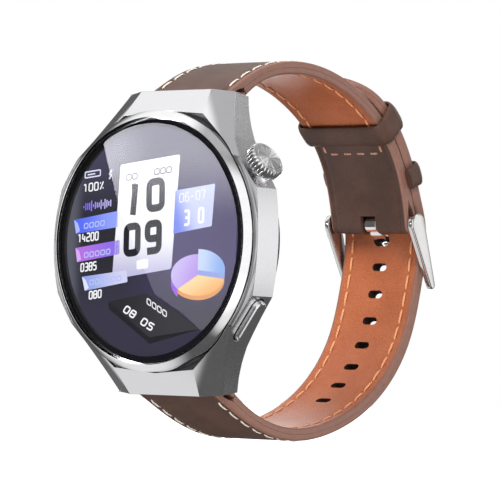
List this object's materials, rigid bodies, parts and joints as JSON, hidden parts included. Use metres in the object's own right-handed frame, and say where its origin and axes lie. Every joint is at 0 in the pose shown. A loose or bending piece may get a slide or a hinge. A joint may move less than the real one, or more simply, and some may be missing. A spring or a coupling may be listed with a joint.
{
  "type": "smartwatch",
  "caption": "Round steel smartwatch with a raised bezel, a knurled crown, a pill button and a stitched two-layer leather strap buckled into a loop.",
  "frame": {"origin": "centre of the outer face of the dial glass", "axes": "+Z to 12 o'clock, +X to 3 o'clock where the crown is, dial facing -Y, wrist at +Y"},
  "size_m": [0.0467, 0.069, 0.066],
  "materials": {
    "brushed_steel": "satin, finely brushed",
    "polished_steel": "polished bright",
    "cover_glass": "polished, over a dark display",
    "sensor_glass": "polished black",
    "display_black": "satin",
    "black_plastic": "satin",
    "black_rubber": "matt",
    "brown_leather": "smooth grain, waxed",
    "tan_leather": "smooth, soft",
    "circuit_board": "solder mask",
    "battery_foil": "satin foil",
    "copper_wire": "bare copper"
  },
  "bodies": {
    "case": {"mid_case": "brushed_steel", "bezel": "polished_steel", "cover_glass": "cover_glass", "glass_gasket": "black_rubber", "display_panel": "display_black", "rear_cover": "black_plastic", "sensor_window": "sensor_glass", "rear_gasket": "black_rubber", "charging_coil": "copper_wire", "sensor_board": "circuit_board", "rear_screw_1": "brushed_steel", "rear_screw_2": "brushed_steel", "rear_screw_3": "brushed_steel", "rear_screw_4": "brushed_steel", "antenna_ring": "copper_wire", "inner_frame": "black_plastic", "main_board": "circuit_board", "processor_shield": "brushed_steel", "battery": "battery_foil", "vibration_motor": "brushed_steel", "speaker_module": "black_plastic", "microphone": "brushed_steel", "crown_tube": "brushed_steel", "crown_encoder": "black_plastic", "button_switch": "black_plastic"},
    "crown_press": {"crown_clip": "brushed_steel", "crown_seal": "black_rubber"},
    "crown": {"crown_knob": "polished_steel", "crown_stem": "brushed_steel"},
    "side_button": {"side_button": "brushed_steel", "button_stem": "brushed_steel", "button_seal": "black_rubber"},
    "strap_long_half": {"strap_lower_outer": "brown_leather", "strap_lower_lining": "tan_leather", "spring_bar_bottom": "brushed_steel"},
    "strap_buckle_half": {"strap_upper_outer": "brown_leather", "strap_upper_lining": "tan_leather", "spring_bar_top": "brushed_steel", "keeper_fixed": "brown_leather"},
    "buckle": {"buckle_frame": "polished_steel", "buckle_bar": "brushed_steel"},
    "tongue": {"buckle_tongue": "polished_steel"},
    "keeper": {"keeper_free": "brown_leather"},
    "spring_bar_top_tip_left": {"spring_bar_top_tip_left": "polished_steel"},
    "spring_bar_top_tip_right": {"spring_bar_top_tip_right": "polished_steel"},
    "spring_bar_bottom_tip_left": {"spring_bar_bottom_tip_left": "polished_steel"},
    "spring_bar_bottom_tip_right": {"spring_bar_bottom_tip_right": "polished_steel"}
  },
  "joints": [
    {"name": "crown_push", "type": "slide", "parent": "case", "child": "crown_press", "axis": [0.8123, 0, 0.5832], "range_m": [-0.0004, 0], "stiffness_N_per_m": 2500},
    {"name": "crown_turn", "type": "hinge", "parent": "crown_press", "child": "crown", "pos_m": [0.01956, 0.0046, 0.01226], "axis": [0.8123, 0, 0.5832], "continuous": true},
    {"name": "button_push", "type": "slide", "parent": "case", "child": "side_button", "axis": [0.8123, 0, -0.5832], "range_m": [-0.00035, 0], "stiffness_N_per_m": 2500},
    {"name": "long_half_swing", "type": "hinge", "parent": "case", "child": "strap_long_half", "pos_m": [0, 0.0098, -0.0243], "axis": [-1, 0, 0], "range_deg": [0, 50], "deforming": ["strap_lower_outer", "strap_lower_lining"]},
    {"name": "buckle_half_swing", "type": "hinge", "parent": "case", "child": "strap_buckle_half", "pos_m": [0, 0.0098, 0.0243], "axis": [1, 0, 0], "range_deg": [0, 50], "deforming": ["strap_upper_outer", "strap_upper_lining"]},
    {"name": "buckle_swing", "type": "hinge", "parent": "strap_buckle_half", "child": "buckle", "pos_m": [0, 0.0623, 0.0065], "axis": [1, 0, 0], "range_deg": [0, 25]},
    {"name": "tongue_swing", "type": "hinge", "parent": "buckle", "child": "tongue", "pos_m": [0, 0.0623, 0.0065], "axis": [1, 0, 0], "range_deg": [0, 75]},
    {"name": "keeper_slide", "type": "hinge", "parent": "strap_buckle_half", "child": "keeper", "pos_m": [0, 0.03638, 0.00426], "axis": [1, 0, 0], "range_deg": [-10, 12]},
    {"name": "spring_bar_top_tip_left_in", "type": "slide", "parent": "strap_buckle_half", "child": "spring_bar_top_tip_left", "axis": [1, 0, 0], "range_m": [0, 0.0011], "stiffness_N_per_m": 1500},
    {"name": "spring_bar_top_tip_right_in", "type": "slide", "parent": "strap_buckle_half", "child": "spring_bar_top_tip_right", "axis": [-1, 0, 0], "range_m": [0, 0.0011], "stiffness_N_per_m": 1500},
    {"name": "spring_bar_bottom_tip_left_in", "type": "slide", "parent": "strap_long_half", "child": "spring_bar_bottom_tip_left", "axis": [1, 0, 0], "range_m": [0, 0.0011], "stiffness_N_per_m": 1500},
    {"name": "spring_bar_bottom_tip_right_in", "type": "slide", "parent": "strap_long_half", "child": "spring_bar_bottom_tip_right", "axis": [-1, 0, 0], "range_m": [0, 0.0011], "stiffness_N_per_m": 1500}
  ]
}
